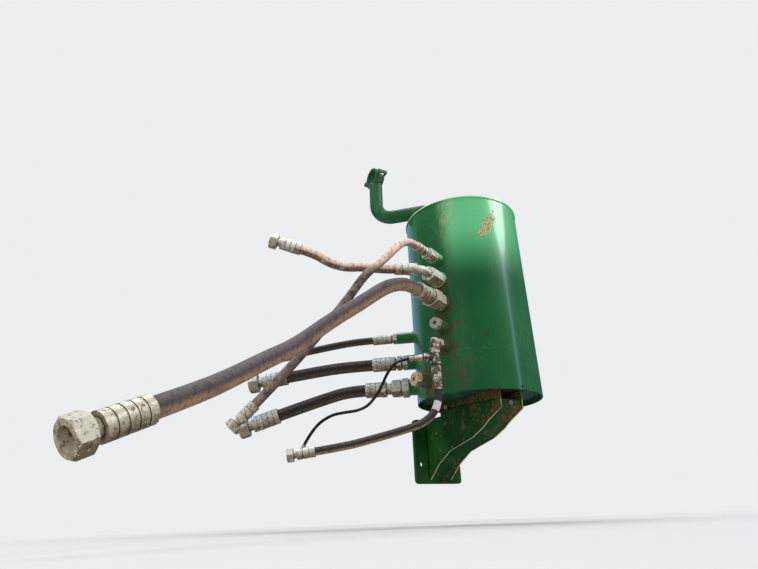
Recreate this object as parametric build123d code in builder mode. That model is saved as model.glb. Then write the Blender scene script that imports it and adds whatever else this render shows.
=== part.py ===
from build123d import *
import os
from math import cos, sin, tan, radians

# Hydraulic oil tank of a large harvesting machine: a rolled steel tank on a folded bracket
# that bolts to the machine's frame, with its ports, fittings and its own hoses.
# Millimetres, +Z up, +Y into the machine. The origin is the middle of the four bolt holes,
# on the bracket's mounting face.

os.makedirs("parts", exist_ok=True)

# Tank
tank_radius = 160.0
tank_height = 530.0
tank_wall = 3.0
tank_stand_off = 210.0      # tank axis to mounting face
tank_bottom = 85.0          # skirt's lower edge above the middle of the bolts
head_thick = 4.0
head_lip = 2.0              # the head's rim stands proud of the shell
floor_thick = 4.0
floor_recess = 14.0         # tank floor above the skirt's lower edge
skirt_hole_r = 3.5
skirt_hole_angles = (269.0, 284.0)
skirt_hole_up = 7.0
weld_gap = 0.15             # clearance of a part welded or pushed into its hole

tank_top = tank_bottom + tank_height
floor_top = tank_bottom + floor_recess + floor_thick
shell_top = tank_top - head_thick

# Filler
neck_x, neck_y = 30.0, 35.0 - tank_stand_off
neck_radius = 42.0
neck_wall = 4.0
neck_height = 40.0
neck_depth = 12.0
cap_clearance = 0.8
cap_seat_gap = 0.3
cap_wall = 4.0
cap_skirt = 24.0
cap_top_thick = 5.0
cap_knob_radius = 16.0
cap_knob_height = 8.0
cap_grips = 12
cap_grip_radius = 4.0

# Ports: angle round the axis from +X, height above the skirt's edge, boss radius,
# how far the boss stands out of the wall, and its bore's radius
pressure_angle = 204.0
suction_angle = 140.0
drain_angle = 180.0
boss_inside = 4.0
PORTS = {
    "supply_1": (pressure_angle, 350.0, 17.0, 26.0, 8.0),
    "supply_2": (pressure_angle, 292.0, 21.0, 7.0, 10.0),
    "supply_3": (pressure_angle, 228.0, 24.0, 9.0, 13.0),
    "level": (pressure_angle, 164.0, 16.0, 35.0, 8.0),
    "branch": (pressure_angle, 115.0, 14.0, 26.0, 6.0),
    "drain": (drain_angle, 42.5, 17.0, 28.0, 9.0),
    "suction_1": (suction_angle, 192.0, 15.5, 46.0, 8.0),
    "suction_2": (suction_angle, 121.0, 20.0, 20.0, 12.0),
    "suction_3": (suction_angle, 52.0, 21.0, 20.0, 12.0),
}

# Hose diameters
supply_1_od = 19.0
supply_2_od = 22.0
supply_3_od = 31.0
sensor_od = 7.0
return_od = 17.5
suction_1_od = 20.0
suction_2_od = 31.0
suction_3_od = 32.0

# Fittings, outwards from the boss or from the piece before. Columns: shape, size across, length.
# A crimp is a ferrule pressed on the hose, with shallow grooves
crimp_pitch = 13.0
crimp_groove = 2.0
crimp_groove_width = 2.0
hex_chamfer = 30.0
hex_clearance = 1.05        # of the turning profile, past the hexagon's corners
plug_dimple_depth = 4.0
FITTINGS = {
    "supply_1_adapter": (("hex", 30.0, 8.0), ("round", 23.0, 3.0)),
    "supply_1_coupling": (
        ("hex", 30.0, 20.0), ("round", 25.0, 6.5), ("round", 17.0, 5.0), ("crimp", supply_1_od + 5.0, 35.5)),
    "supply_2_adapter": (("round", 38.0, 5.0), ("hex", 36.0, 18.0)),
    "supply_2_coupling": (("round", supply_2_od + 8.0, 22.5), ("crimp", supply_2_od + 6.0, 32.0)),
    "supply_3_adapter": (("hex", 41.0, 20.0), ("round", 34.0, 3.0)),
    "supply_3_coupling": (("hex", 46.0, 28.0), ("round", 36.0, 4.0), ("crimp", supply_3_od + 9.0, 52.0)),
    "branch_elbow_nut": (("hex", 22.0, 14.0),),
    "return_coupling": (
        ("hex", 24.0, 9.0), ("round", 15.0, 5.0), ("crimp", return_od + 5.0, 40.0),
        ("round", 19.0, 4.0), ("round", return_od + 5.0, 11.0)),
    "sensor_coupling": (
        ("hex", 19.0, 11.4), ("round", 11.0, 3.0), ("hex", 15.0, 10.0), ("crimp", sensor_od + 6.0, 22.0)),
    "suction_1_coupling": (("hex", 27.0, 12.0), ("round", 20.0, 4.0), ("crimp", suction_1_od + 6.0, 52.0)),
    "suction_2_coupling": (
        ("hex", 36.0, 14.0), ("round", 30.0, 3.0), ("hex", 36.0, 13.0), ("round", 28.0, 5.0),
        ("crimp", suction_2_od + 7.0, 62.0)),
    "suction_3_coupling": (
        ("hex", 46.0, 19.0), ("round", 36.0, 2.0), ("hex", 41.0, 26.0), ("round", 30.0, 15.0),
        ("hex", 38.0, 14.0), ("crimp", suction_3_od + 8.0, 42.0)),
    "level_plug": (("round", 31.0, 3.0), ("hex", 27.0, 8.0)),
    "drain_plug": (("round", 36.0, 2.0), ("hex", 32.0, 11.5)),
}
# Coupling on a hose's far end, as shares of the hose's diameter
end_ferrule_across, end_ferrule_length = 1.3, 2.2
end_neck_across, end_neck_length = 0.85, 0.4
end_nut_across, end_nut_length = 1.5, 0.8
end_bore_radius, end_bore_depth = 0.5, 0.6

# Elbow of supply line 2, and the branch port's swivel elbow and tee
elbow_2_collar = 28.0
elbow_2_corner = 88.0
elbow_2_turn, elbow_2_rise = 159.0, -2.0
elbow_2_leg = 13.6
elbow_2_radius = 30.0
branch_out = 56.0
branch_body = 9.0
drop_collar = 11.0
tee_drop = 39.0
tee_half = 9.0
side_turn = 140.0
side_body = 7.5
side_stub = 14.2

# Bracket. Folds of the gussets' lower edge, front to back: y from the tank axis and
# height from the skirt's edge
foot_width = 72.0
foot_wall = 3.0
foot_drop_front = 13.0      # flange's lower edge, below the skirt's edge
foot_drop_back = -3.0
foot_front = 115.0          # ahead of the tank axis
foot_back = 128.0
gusset_thick = 4.0
gusset_up = 5.0             # top edge beside the foot, above the skirt's edge
gusset_back_drop = 16.0     # top edge behind the foot, below the skirt's edge
GUSSET_FOLDS = (
    (-112.0, -11.0), (-112.0, -33.0), (-64.0, -56.0), (-38.0, -71.0), (2.0, -88.0), (100.0, -110.0),
    (152.0, -138.0), (198.0, -176.0))
web_thick = 5.0
web_recess = 2.0            # inside the gussets' lower edges
web_bend_radius = 7.0
web_corner = 9.0
back_plate_thick = 12.0
back_plate_width = 150.0
back_plate_top = 70.0
back_plate_bottom = -100.0
back_plate_corner = 10.0
bolt_spacing_x = 110.0
bolt_spacing_z = 100.0
bolt_hole_radius = 6.6
lug_reach = 12.0            # the left gusset's front lug, past the middle
lug_thick = 5.0
lug_top, lug_bottom = -15.0, -28.0
front_bolt_drop = -22.0
side_bolt_y, side_bolt_up = 95.0, 3.0
# Columns: radius, size across, height of the head
FRONT_BOLT = (3.0, 10.0, 4.0)
SIDE_BOLTS = (4.0, 13.0, 5.5)

# Hose carrier arm
arm_radius = 20.0
arm_wall = 4.0
arm_foot_x, arm_foot_y = -85.0, 20.0 - tank_stand_off
arm_foot_radius = 34.0
arm_foot_thick = 6.0
arm_level = 39.5            # level run above the tank's top
arm_reach_x, arm_reach_y = -120.0, 120.0
arm_low_bend = 30.0
arm_high_bend = 50.0
clamp_above = 190.0         # clamp's middle above the tank's top
clamp_bore = 26.0
clamp_wall = 5.0
clamp_width = 30.0
clamp_ear = 16.0
clamp_ear_thick = 5.0
clamp_bolt_radius = 4.0
clamp_bolt_across = 13.0
clamp_bolt_head = 5.5


def heading(turn, rise=0.0):
    """Unit vector at a turn from +X and a rise above level, in degrees."""
    level = cos(radians(rise))
    return Vector(cos(radians(turn)) * level, sin(radians(turn)) * level, sin(radians(rise)))


def port_plane(name):
    """Plane on the tank's wall, square to the port, facing outwards."""
    turn, height = PORTS[name][:2]
    out = heading(turn)
    return Plane(
        origin=(out.X * tank_radius, out.Y * tank_radius - tank_stand_off, tank_bottom + height),
        x_dir=(0, 0, 1),
        z_dir=out,
    )


def beyond(plane, distance):
    """The plane moved outwards along its own axis."""
    return plane.offset(distance)


def finish(name, builder):
    """Labels and writes one finished piece."""
    builder.part.label = name
    export_step(builder.part, f"parts/{name}.step")


def round_length(plane, across, start, end):
    """A round length along the plane's axis."""
    with BuildPart() as made:
        with BuildSketch(beyond(plane, start)):
            Circle(across / 2)
        extrude(amount=end - start)
    return made.part


def hex_length(plane, across, start, end):
    """A hexagonal length along the plane's axis, with its corners turned off at both ends."""
    corner = hex_clearance * across / 2 / cos(radians(30))
    cut = (corner - across / 2) * tan(radians(hex_chamfer))
    with BuildPart() as made:
        with BuildSketch(beyond(plane, start)):
            RegularPolygon(radius=across / 2, side_count=6, major_radius=False)
        extrude(amount=end - start)
        with BuildSketch(Plane(origin=plane.origin, x_dir=plane.x_dir, z_dir=plane.x_dir.cross(plane.z_dir))):
            with BuildLine():
                Polyline(
                    (0, start), (across / 2, start), (corner, start + cut),
                    (corner, end - cut), (across / 2, end), (0, end), close=True)
            make_face()
        revolve(axis=Axis(plane.origin, plane.z_dir), mode=Mode.INTERSECT)
    return made.part


def stack(plane, sections, bore_radius=0.0, dimple_radius=0.0, dimple_depth=plug_dimple_depth):
    """Round and hexagonal lengths in a row: shape, size across, start and end along the plane's axis."""
    lengths = [(hex_length if shape == "hex" else round_length)(plane, *size) for shape, *size in sections]
    with BuildPart() as made:
        for length in lengths:
            add(length)
        first, last = sections[0][2], sections[-1][3]
        if bore_radius:
            with BuildSketch(beyond(plane, first)):
                Circle(bore_radius)
            extrude(amount=last - first, mode=Mode.SUBTRACT)
        if dimple_radius:
            with BuildSketch(beyond(plane, last - dimple_depth)):
                Circle(dimple_radius)
            extrude(amount=dimple_depth, mode=Mode.SUBTRACT)
    return made


def rows(sections, start):
    """Sections stacked outwards from a start. A crimp becomes lands with grooves between them."""
    placed = []
    for shape, across, length in sections:
        end = start + length
        rings = max(1, round(length / crimp_pitch)) if shape == "crimp" else 1
        land = (length - crimp_groove_width * (rings - 1)) / rings
        for ring in range(rings):
            at = start + ring * (land + crimp_groove_width)
            land_end = end if ring == rings - 1 else at + land
            placed.append(("hex" if shape == "hex" else "round", across, at, land_end))
            if ring < rings - 1:
                placed.append(("round", across - crimp_groove, at + land, at + land + crimp_groove_width))
        start = end
    return placed


def inset(points, distance):
    """A folded line moved sideways, to the left of its direction, with mitred corners."""
    line = [Vector(y, z) for y, z in points]
    sides = [Vector(-(b - a).Y, (b - a).X).normalized() for a, b in zip(line, line[1:])]
    moved = []
    for at, before, after in zip(line, [sides[0]] + sides, sides + [sides[-1]]):
        middle = before + after
        moved.append(at + middle * (2 * distance / middle.dot(middle)))
    return [(point.X, point.Y) for point in moved]


# Tank shell: rolled sheet, with a hole for each boss and two small holes in the skirt
with BuildPart() as tank_shell:
    with BuildSketch(Plane((0, -tank_stand_off, tank_bottom))):
        Circle(tank_radius)
        Circle(tank_radius - tank_wall, mode=Mode.SUBTRACT)
    extrude(amount=shell_top - tank_bottom)
    for port, (turn, height, boss_radius, boss_out, bore) in PORTS.items():
        with BuildSketch(beyond(port_plane(port), -20)):
            Circle(boss_radius + weld_gap)
        extrude(amount=40, mode=Mode.SUBTRACT)
    for turn in skirt_hole_angles:
        skirt_centre = Vector(0, -tank_stand_off, tank_bottom + skirt_hole_up)
        with BuildSketch(Plane(origin=skirt_centre + heading(turn) * (tank_radius - 20), z_dir=heading(turn))):
            Circle(skirt_hole_r)
        extrude(amount=40, mode=Mode.SUBTRACT)
finish("tank_shell", tank_shell)

# Top head, with the filler's hole
with BuildPart() as top_head:
    with BuildSketch(Plane((0, -tank_stand_off, shell_top))):
        Circle(tank_radius + head_lip)
    extrude(amount=head_thick)
    with BuildSketch(Plane((neck_x, neck_y, shell_top))):
        Circle(neck_radius + weld_gap)
    extrude(amount=head_thick, mode=Mode.SUBTRACT)
    fillet(top_head.faces().sort_by(Axis.Z)[-1].outer_wire().edges(), radius=head_thick * 0.4)
finish("top_head", top_head)

# Tank floor, set up inside the skirt
with BuildPart() as tank_floor:
    with BuildSketch(Plane((0, -tank_stand_off, tank_bottom + floor_recess))):
        Circle(tank_radius - tank_wall - weld_gap)
    extrude(amount=floor_thick)
finish("tank_floor", tank_floor)

# Filler neck, through the head
with BuildPart() as filler_neck:
    with BuildSketch(Plane((neck_x, neck_y, shell_top - neck_depth))):
        Circle(neck_radius)
        Circle(neck_radius - neck_wall, mode=Mode.SUBTRACT)
    extrude(amount=neck_depth + head_thick + neck_height)
finish("filler_neck", filler_neck)

# Filler cap: a cup over the neck, with grips round its skirt and a raised middle
cap_seat = tank_top + neck_height + cap_seat_gap
cap_bore = neck_radius + cap_clearance
cap_radius = cap_bore + cap_wall
with BuildPart() as filler_cap:
    with BuildSketch(Plane((neck_x, neck_y, cap_seat - cap_skirt))):
        Circle(cap_radius)
        with PolarLocations(cap_radius, cap_grips):
            Circle(cap_grip_radius)
    extrude(amount=cap_skirt + cap_top_thick)
    with BuildSketch(Plane((neck_x, neck_y, cap_seat + cap_top_thick))):
        Circle(cap_knob_radius)
    extrude(amount=cap_knob_height)
    with BuildSketch(Plane((neck_x, neck_y, cap_seat - cap_skirt))):
        Circle(cap_bore)
    extrude(amount=cap_skirt, mode=Mode.SUBTRACT)
    fillet(filler_cap.faces().sort_by(Axis.Z)[-1].edges(), radius=cap_knob_height * 0.4)
finish("filler_cap", filler_cap)

# Bosses, welded into the shell, each bored for its fitting
for row, names in (
    ("supply_bosses", ("supply_1", "supply_2", "supply_3", "level", "branch")),
    ("suction_bosses", ("suction_1", "suction_2", "suction_3")),
    ("drain_boss", ("drain",)),
):
    with BuildPart() as bosses:
        for port in names:
            turn, height, boss_radius, boss_out, bore = PORTS[port]
            start = -tank_wall - boss_inside
            with BuildSketch(beyond(port_plane(port), start)):
                Circle(boss_radius)
                Circle(bore, mode=Mode.SUBTRACT)
            extrude(amount=boss_out - start)
    finish(row, bosses)


def spigot(port):
    """The threaded end of a fitting, in its boss."""
    boss_out, bore = PORTS[port][3:]
    return ("round", 2 * (bore - weld_gap), 0.0, boss_out)


for plug, port, dimple_radius in (("level_plug", "level", 5.0), ("drain_plug", "drain", 5.5)):
    finish(plug, stack(
        port_plane(port), [spigot(port)] + rows(FITTINGS[plug], PORTS[port][3]), dimple_radius=dimple_radius))

# Adapters, each with its thread in the boss and bored through. Columns: name, port, bore's radius
face = {}
for name, port, bore_radius in (
    ("supply_1_adapter", "supply_1", 5.0),
    ("supply_2_adapter", "supply_2", 6.0),
    ("supply_3_adapter", "supply_3", 9.0),
    ("branch_elbow_nut", "branch", 3.5),
):
    lengths = rows(FITTINGS[name], PORTS[port][3])
    finish(name, stack(port_plane(port), [spigot(port)] + lengths, bore_radius=bore_radius))
    face[port] = lengths[-1][3]

# Supply line 2's bent tube elbow
supply_2_plane = port_plane("supply_2")
elbow_2_start = face["supply_2"] + elbow_2_collar
corner_2 = beyond(supply_2_plane, elbow_2_corner).origin
elbow_2_end = corner_2 + heading(elbow_2_turn, elbow_2_rise) * elbow_2_leg
elbow_2_plane = Plane(origin=elbow_2_end, z_dir=heading(elbow_2_turn, elbow_2_rise))
elbow_nut = hex_length(supply_2_plane, FITTINGS["supply_2_adapter"][-1][1], face["supply_2"], elbow_2_start)
with BuildPart() as supply_2_elbow:
    add(elbow_nut)
    with BuildLine():
        FilletPolyline(
            beyond(supply_2_plane, elbow_2_start - 2).origin, corner_2, elbow_2_end, radius=elbow_2_radius)
    with BuildSketch(beyond(supply_2_plane, elbow_2_start - 2)):
        Circle(supply_2_od / 2)
    sweep()
finish("supply_2_elbow", supply_2_elbow)

# Branch port: swivel elbow with its drop, and a tee
branch_plane = port_plane("branch")
drop_plane = Plane(
    origin=beyond(branch_plane, branch_out).origin,
    z_dir=(0, 0, -1),
)
drop_nut = hex_length(drop_plane, 2 * drop_collar, branch_body, tee_drop - tee_half)
with BuildPart() as branch_elbow:
    with BuildSketch(beyond(branch_plane, face["branch"])):
        Circle(branch_body)
    extrude(amount=branch_out - face["branch"])
    with Locations(drop_plane.origin):
        Sphere(branch_body)
    with BuildSketch(drop_plane):
        Circle(branch_body)
    extrude(amount=tee_drop - tee_half)
    add(drop_nut)
finish("branch_elbow", branch_elbow)
side_plane = Plane(origin=beyond(drop_plane, tee_drop).origin, z_dir=heading(side_turn))
with BuildPart() as branch_tee:
    with BuildSketch(beyond(drop_plane, tee_drop - tee_half)):
        Circle(branch_body)
    extrude(amount=2 * tee_half)
    with BuildSketch(side_plane):
        Circle(side_body)
    extrude(amount=side_stub)
finish("branch_tee", branch_tee)

# Crimped couplings. Columns: name, plane, start along it, whether it screws into its boss
exit_of = {}
for name, plane, start, threaded in (
    ("supply_1", port_plane("supply_1"), face["supply_1"], False),
    ("supply_2", elbow_2_plane, 0.0, False),
    ("supply_3", port_plane("supply_3"), face["supply_3"], False),
    ("return", drop_plane, tee_drop + tee_half, False),
    ("sensor", side_plane, side_stub, False),
    ("suction_1", port_plane("suction_1"), PORTS["suction_1"][3], True),
    ("suction_2", port_plane("suction_2"), PORTS["suction_2"][3], True),
    ("suction_3", port_plane("suction_3"), PORTS["suction_3"][3], True),
):
    lengths = rows(FITTINGS[name + "_coupling"], start)
    exit_of[name] = beyond(plane, lengths[-1][3])
    finish(name + "_coupling", stack(plane, ([spigot(name)] if threaded else []) + lengths))

# Hose routes. Columns: name, diameter, its coupling, the straight run out of it, and the
# points after that, chosen by hand
ROUTES = (
    ("supply_1_hose", supply_1_od, "supply_1", 18.0, (
        (-277, -333, 431), (-302, -343, 418), (-330, -353, 391), (-363, -348, 353),
        (-406, -343, 313), (-441, -331, 255), (-489, -304, 185), (-542, -267, 108),
        (-601, -229, 35))),
    ("supply_2_hose", supply_2_od, "supply_2", 36.0, (
        (-364, -258, 378), (-403, -241, 375), (-442, -231, 384), (-475, -226, 402),
        (-508, -213, 413))),
    ("supply_3_hose", supply_3_od, "supply_3", 32.0, (
        (-315, -348, 306), (-367, -367, 282), (-435, -379, 228), (-513, -387, 171),
        (-586, -400, 108), (-652, -437, 66), (-712, -471, 24), (-770, -510, -13),
        (-833, -541, -46))),
    ("sensor_line", sensor_od, "sensor", 14.0, (
        (-272, -233, 153), (-284, -218, 130), (-294, -210, 102), (-309, -204, 77),
        (-327, -200, 56), (-352, -196, 44), (-380, -189, 40), (-413, -180, 33),
        (-446, -164, 7), (-462, -152, -29))),
    ("return_hose", return_od, "return", 18.0, (
        (-201.5, -296.4, 47.6), (-209.7, -293.4, 31.8), (-221.3, -289.2, 18.7), (-238.8, -282.8, 6.9),
        (-263.7, -273.8, -2.2), (-300, -260, -13), (-344, -241, -25), (-395, -215, -38),
        (-450, -184, -46))),
    ("suction_1_hose", suction_1_od, "suction_1", 44.0, (
        (-287, 25, 271), (-339, 55, 260), (-396, 85, 247))),
    ("suction_2_hose", suction_2_od, "suction_2", 54.0, (
        (-301, 38, 203), (-354, 75, 195), (-408, 110, 186))),
    ("suction_3_hose", suction_3_od, "suction_3", 52.0, (
        (-319, 55, 121), (-372, 89, 102), (-425, 119, 82))),
)

for name, od, coupling, lead, after in ROUTES:
    out_plane = exit_of[coupling]
    points = [out_plane.origin, beyond(out_plane, lead).origin] + [Vector(*p) for p in after]
    radii = []
    for before, here, behind in zip(points, points[1:], points[2:]):
        turn = (here - before).get_angle(behind - here)
        run = min((here - before).length, (behind - here).length)
        radii.append(0.45 * run / tan(radians(turn) / 2))
    with BuildPart() as hose:
        with BuildLine() as route:
            FilletPolyline(*points, radius=radii)
        with BuildSketch(out_plane):
            Circle(od / 2)
        sweep()
    finish(name, hose)
    length = sum(edge.length for edge in route.line.edges())
    share = hose.part.volume / (3.14159265 * od * od / 4 * length)
    print(f"{name}: length {length:.0f}, tightest {min(radii) / od:.1f} diameters, volume {share:.4f}")

    # The crimped coupling on the hose's far end, open for what it screws on to
    end_plane = Plane(origin=points[-1], z_dir=points[-1] - points[-2])
    finish(coupling + "_end", stack(end_plane, rows((
        ("crimp", end_ferrule_across * od, end_ferrule_length * od),
        ("round", end_neck_across * od, end_neck_length * od),
        ("hex", end_nut_across * od, end_nut_length * od),
    ), 0.0), dimple_radius=end_bore_radius * od, dimple_depth=end_bore_depth * od))

# Foot channel under the tank floor, open at its ends, with flanges that taper to the back
foot_top = tank_bottom + floor_recess
foot_bottom = tank_bottom - foot_drop_front
side_bolt = (side_bolt_y - tank_stand_off, side_bolt_up + tank_bottom)
with BuildPart() as foot_channel:
    with BuildSketch(Plane((0, -tank_stand_off - foot_front, 0), x_dir=(1, 0, 0), z_dir=(0, -1, 0))):
        with Locations((0, (foot_top + foot_bottom) / 2)):
            Rectangle(foot_width, foot_top - foot_bottom)
        with Locations((0, (foot_top + foot_bottom) / 2 - foot_wall)):
            Rectangle(foot_width - 2 * foot_wall, foot_top - foot_bottom, mode=Mode.SUBTRACT)
    extrude(amount=-(foot_front + foot_back))
    with BuildSketch(Plane((-foot_width, 0, 0), x_dir=(0, 1, 0), z_dir=(1, 0, 0))):
        with BuildLine():
            Polyline(
                (-foot_front - tank_stand_off, foot_bottom),
                (foot_back - tank_stand_off, tank_bottom - foot_drop_back),
                (foot_back - tank_stand_off, foot_bottom), close=True)
        make_face()
        with Locations(side_bolt):
            Circle(SIDE_BOLTS[0] + weld_gap)
    extrude(amount=2 * foot_width, mode=Mode.SUBTRACT)
finish("foot_channel", foot_channel)

# Gussets: the two side plates, with the web let in between their lower edges. The left one
# is inside the foot's flange, with a lug folded across behind the web's front flange
gusset_back = -back_plate_thick
gusset_edge = [(y - tank_stand_off, z + tank_bottom) for y, z in GUSSET_FOLDS]
web_outside = inset(gusset_edge, web_recess)
web_outside[0] = (web_outside[0][0], gusset_edge[0][1] - web_recess)
web_outside[-1] = (gusset_back, web_outside[-1][1])
web_inside = inset(web_outside, web_thick)
web_inside[-1] = (gusset_back, web_inside[-1][1])
gusset_outline = gusset_edge + [
    (gusset_back, tank_bottom - gusset_back_drop),
    (foot_back - tank_stand_off, tank_bottom - gusset_back_drop),
    (foot_back - tank_stand_off, tank_bottom + gusset_up),
    (gusset_edge[0][0], tank_bottom + gusset_up),
]
left_inside = -foot_width / 2 + foot_wall + weld_gap + gusset_thick
right_inside = foot_width / 2 + weld_gap
front_bolt = (0, tank_bottom + front_bolt_drop)
for side, inside, name in ((-1, left_inside, "gusset_left"), (1, right_inside, "gusset_right")):
    with BuildPart() as gusset:
        with BuildSketch(Plane((inside, 0, 0), x_dir=(0, 1, 0), z_dir=(1, 0, 0))):
            with BuildLine():
                Polyline(*gusset_outline, close=True)
            make_face()
            with Locations(side_bolt):
                Circle(SIDE_BOLTS[0] + weld_gap, mode=Mode.SUBTRACT)
        extrude(amount=side * gusset_thick)
        if side < 0:
            lug_face = web_inside[0][0] + weld_gap
            with BuildSketch(Plane((0, lug_face, tank_bottom), x_dir=(1, 0, 0), z_dir=(0, -1, 0))):
                with Locations(((lug_reach + left_inside) / 2, (lug_top + lug_bottom) / 2)):
                    Rectangle(lug_reach - left_inside, lug_top - lug_bottom)
                with Locations((0, front_bolt_drop)):
                    Circle(FRONT_BOLT[0] + weld_gap, mode=Mode.SUBTRACT)
            extrude(amount=-lug_thick)
    finish(name, gusset)

# Web: the folded lower plate between the gussets, with a short flange up its front
web_left, web_right = left_inside + weld_gap, right_inside - weld_gap
with BuildPart() as bracket_web:
    with BuildSketch(Plane((web_left, 0, 0), x_dir=(0, 1, 0), z_dir=(1, 0, 0))):
        with BuildLine():
            FilletPolyline(*web_outside, radius=web_bend_radius)
            Line(web_outside[-1], web_inside[-1])
            FilletPolyline(*reversed(web_inside), radius=web_bend_radius - web_thick)
            Line(web_inside[0], web_outside[0])
        make_face()
    extrude(amount=web_right - web_left)
    fillet(bracket_web.edges().filter_by(Axis.Y).group_by(Axis.Z)[-1], radius=web_corner)
    with BuildSketch(Plane((0, web_outside[0][0], 0), x_dir=(1, 0, 0), z_dir=(0, -1, 0))):
        with Locations(front_bolt):
            Circle(FRONT_BOLT[0] + weld_gap)
    extrude(amount=-2 * web_thick, mode=Mode.SUBTRACT)
finish("bracket_web", bracket_web)

# Back plate, drilled for the machine's four bolts
with BuildPart() as back_plate:
    with BuildSketch(Plane.XZ):
        with Locations((0, (back_plate_top + back_plate_bottom) / 2)):
            RectangleRounded(back_plate_width, back_plate_top - back_plate_bottom, back_plate_corner)
        with GridLocations(bolt_spacing_x, bolt_spacing_z, 2, 2):
            Circle(bolt_hole_radius, mode=Mode.SUBTRACT)
    extrude(amount=back_plate_thick)
finish("back_plate", back_plate)

# Bracket's bolts, each with a head and a nut: one through the web's front flange and the
# lug, one through each side of the foot. Columns: head's plane, length between head and nut
bolts = []
flange_grip = foot_wall + weld_gap + gusset_thick
web_grip = web_thick + weld_gap + lug_thick
for plane, grip, (radius, across, head) in (
    (Plane((0, web_outside[0][0], front_bolt[1]), z_dir=(0, -1, 0)), web_grip, FRONT_BOLT),
    (Plane((-foot_width / 2, *side_bolt), z_dir=(-1, 0, 0)), flange_grip, SIDE_BOLTS),
    (Plane((right_inside + gusset_thick, *side_bolt), z_dir=(1, 0, 0)), flange_grip, SIDE_BOLTS),
):
    bolts += [
        hex_length(plane, across, 0, head),
        round_length(plane, 2 * radius, -grip - head, 0),
        hex_length(plane, across, -grip - head, -grip),
    ]
with BuildPart() as bracket_bolts:
    for piece in bolts:
        add(piece)
finish("bracket_bolts", bracket_bolts)

# Carrier arm: a bent tube on a welded foot, coped to the saddle at its upper end
arm_base = tank_top + arm_foot_thick
arm_level_z = tank_top + arm_level
clamp_x, clamp_y = arm_foot_x + arm_reach_x, arm_foot_y + arm_reach_y
clamp_z = tank_top + clamp_above
saddle_radius = clamp_bore + clamp_wall
with BuildPart() as carrier_arm:
    with BuildSketch(Plane((arm_foot_x, arm_foot_y, tank_top))):
        Circle(arm_foot_radius)
    extrude(amount=arm_foot_thick)
    with BuildLine():
        FilletPolyline(
            (arm_foot_x, arm_foot_y, arm_base),
            (arm_foot_x, arm_foot_y, arm_level_z),
            (clamp_x, clamp_y, arm_level_z),
            (clamp_x, clamp_y, clamp_z - clamp_bore),
            radius=(arm_low_bend, arm_high_bend),
        )
    with BuildSketch(Plane((arm_foot_x, arm_foot_y, arm_base))):
        Circle(arm_radius)
        Circle(arm_radius - arm_wall, mode=Mode.SUBTRACT)
    sweep()
    with BuildSketch(Plane((clamp_x - 2 * arm_radius, clamp_y, clamp_z), x_dir=(0, 1, 0), z_dir=(1, 0, 0))):
        Circle(saddle_radius)
    extrude(amount=4 * arm_radius, mode=Mode.SUBTRACT)
finish("carrier_arm", carrier_arm)

# Saddle and strap of the hose clamp, each half a ring with two ears
clamp_face = Plane((clamp_x - clamp_width / 2, clamp_y, clamp_z), x_dir=(0, 1, 0), z_dir=(1, 0, 0))
ear_middle = saddle_radius + clamp_ear / 2 - 1
for side, name in ((-1, "carrier_saddle"), (1, "carrier_strap")):
    with BuildPart() as half_clamp:
        with BuildSketch(clamp_face):
            Circle(saddle_radius)
            with Locations((0, side * clamp_ear_thick / 2)):
                Rectangle(2 * (saddle_radius + clamp_ear), clamp_ear_thick)
            Circle(clamp_bore, mode=Mode.SUBTRACT)
            with Locations((0, -side * saddle_radius)):
                Rectangle(4 * saddle_radius, 2 * saddle_radius, mode=Mode.SUBTRACT)
        extrude(amount=clamp_width)
        with BuildSketch(Plane((clamp_x, clamp_y, clamp_z - 2 * clamp_ear_thick))):
            with Locations((0, ear_middle), (0, -ear_middle)):
                Circle(clamp_bolt_radius + weld_gap)
        extrude(amount=4 * clamp_ear_thick, mode=Mode.SUBTRACT)
    finish(name, half_clamp)

# The clamp's bolts, each with a head and a nut
bolts = []
for side in (-1, 1):
    plane = Plane((clamp_x, clamp_y + side * ear_middle, clamp_z))
    bolts += [
        round_length(plane, 2 * clamp_bolt_radius, -clamp_ear_thick, clamp_ear_thick),
        hex_length(plane, clamp_bolt_across, clamp_ear_thick, clamp_ear_thick + clamp_bolt_head),
        hex_length(plane, clamp_bolt_across, -clamp_ear_thick - clamp_bolt_head, -clamp_ear_thick),
    ]
with BuildPart() as clamp_bolts:
    for piece in bolts:
        add(piece)
finish("clamp_bolts", clamp_bolts)
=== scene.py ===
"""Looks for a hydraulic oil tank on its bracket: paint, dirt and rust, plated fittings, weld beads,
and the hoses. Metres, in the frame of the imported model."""

import math

import bpy
from mathutils import Matrix, Vector


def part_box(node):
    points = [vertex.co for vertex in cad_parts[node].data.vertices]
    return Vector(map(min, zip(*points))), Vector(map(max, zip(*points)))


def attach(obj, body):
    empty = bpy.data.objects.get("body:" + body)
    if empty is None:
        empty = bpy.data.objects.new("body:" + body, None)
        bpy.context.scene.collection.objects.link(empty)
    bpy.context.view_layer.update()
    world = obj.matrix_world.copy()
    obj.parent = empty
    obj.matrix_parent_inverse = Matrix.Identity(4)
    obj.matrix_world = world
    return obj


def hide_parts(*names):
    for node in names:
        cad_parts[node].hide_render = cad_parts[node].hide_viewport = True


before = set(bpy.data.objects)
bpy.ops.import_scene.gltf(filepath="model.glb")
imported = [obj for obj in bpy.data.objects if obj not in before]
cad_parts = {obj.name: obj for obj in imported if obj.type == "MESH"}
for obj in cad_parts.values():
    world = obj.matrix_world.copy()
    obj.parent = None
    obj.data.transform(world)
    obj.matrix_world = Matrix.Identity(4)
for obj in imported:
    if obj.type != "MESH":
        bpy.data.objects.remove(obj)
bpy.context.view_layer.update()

TANK = "tank"

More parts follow.
